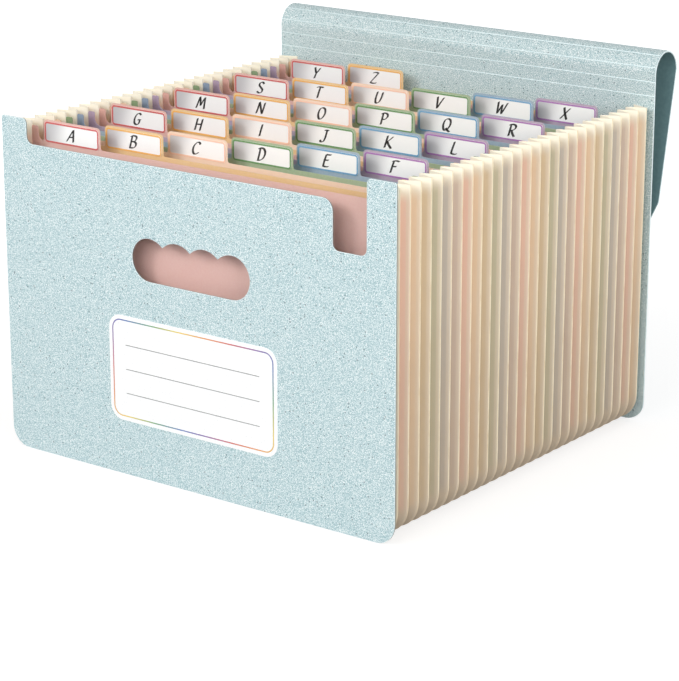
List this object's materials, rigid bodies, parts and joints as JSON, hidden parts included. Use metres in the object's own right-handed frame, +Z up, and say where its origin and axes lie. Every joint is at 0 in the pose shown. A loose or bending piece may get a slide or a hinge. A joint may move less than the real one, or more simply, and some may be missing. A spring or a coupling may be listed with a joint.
{
  "type": "accordion file organizer",
  "caption": "Upright expanding file with pleated film gusset, tabbed divider sheets, handled front cover and roll-over flap.",
  "frame": {"origin": "centre of the footprint, on the ground that the covers stand on", "axes": "+Z up, -Y out of the front cover, +X to the right of someone facing the front cover"},
  "size_m": [0.33, 0.338, 0.2692],
  "materials": {
    "cover": "satin pale aqua sheet with fine speckle",
    "gusset_film": "frosted cream film",
    "sheet_red": "frosted pink-red film",
    "sheet_orange": "frosted amber film",
    "sheet_peach": "frosted peach film",
    "sheet_green": "frosted green film",
    "sheet_blue": "frosted blue film",
    "sheet_purple": "frosted purple film",
    "label": "white paper label with a coloured border"
  },
  "bodies": {
    "organizer_body": {"front_cover": "cover", "gusset_bellows": "gusset_film", "divider_a": "sheet_red", "tab_label_a": "label", "divider_b": "sheet_orange", "tab_label_b": "label", "divider_c": "sheet_peach", "tab_label_c": "label", "divider_d": "sheet_green", "tab_label_d": "label", "divider_e": "sheet_blue", "tab_label_e": "label", "divider_f": "sheet_purple", "tab_label_f": "label", "divider_g": "sheet_red", "tab_label_g": "label", "divider_h": "sheet_orange", "tab_label_h": "label", "divider_i": "sheet_peach", "tab_label_i": "label", "divider_j": "sheet_green", "tab_label_j": "label", "divider_k": "sheet_blue", "tab_label_k": "label", "divider_l": "sheet_purple", "tab_label_l": "label", "divider_m": "sheet_red", "tab_label_m": "label", "divider_n": "sheet_orange", "tab_label_n": "label", "divider_o": "sheet_peach", "tab_label_o": "label", "divider_p": "sheet_green", "tab_label_p": "label", "divider_q": "sheet_blue", "tab_label_q": "label", "divider_r": "sheet_purple", "tab_label_r": "label", "divider_s": "sheet_red", "tab_label_s": "label", "divider_t": "sheet_orange", "tab_label_t": "label", "divider_u": "sheet_peach", "tab_label_u": "label", "divider_v": "sheet_green", "tab_label_v": "label", "divider_w": "sheet_blue", "tab_label_w": "label", "divider_x": "sheet_purple", "tab_label_x": "label", "divider_y": "sheet_red", "tab_label_y": "label", "divider_z": "sheet_orange", "tab_label_z": "label", "back_cover": "cover"},
    "roll_strip_1": {"roll_strip_1": "cover"},
    "roll_strip_2": {"roll_strip_2": "cover"},
    "roll_strip_3": {"roll_strip_3": "cover"},
    "roll_strip_4": {"roll_strip_4": "cover"},
    "cover_flap": {"cover_flap": "cover"}
  },
  "joints": [
    {"name": "crease_1", "type": "hinge", "parent": "organizer_body", "child": "roll_strip_1", "pos_m": [0, 0.1389, 0.2585], "axis": [1, 0, 0], "range_deg": [0, 59.9]},
    {"name": "crease_2", "type": "hinge", "parent": "roll_strip_1", "child": "roll_strip_2", "pos_m": [0, 0.14508, 0.26636], "axis": [1, 0, 0], "range_deg": [0, 59.9]},
    {"name": "crease_3", "type": "hinge", "parent": "roll_strip_2", "child": "roll_strip_3", "pos_m": [0, 0.1548, 0.26871], "axis": [1, 0, 0], "range_deg": [0, 59.9]},
    {"name": "crease_4", "type": "hinge", "parent": "roll_strip_3", "child": "roll_strip_4", "pos_m": [0, 0.16389, 0.26455], "axis": [1, 0, 0], "range_deg": [0, 59.9]},
    {"name": "crease_5", "type": "hinge", "parent": "roll_strip_4", "child": "cover_flap", "pos_m": [0, 0.16846, 0.25565], "axis": [1, 0, 0], "range_deg": [0, 59.9]}
  ]
}
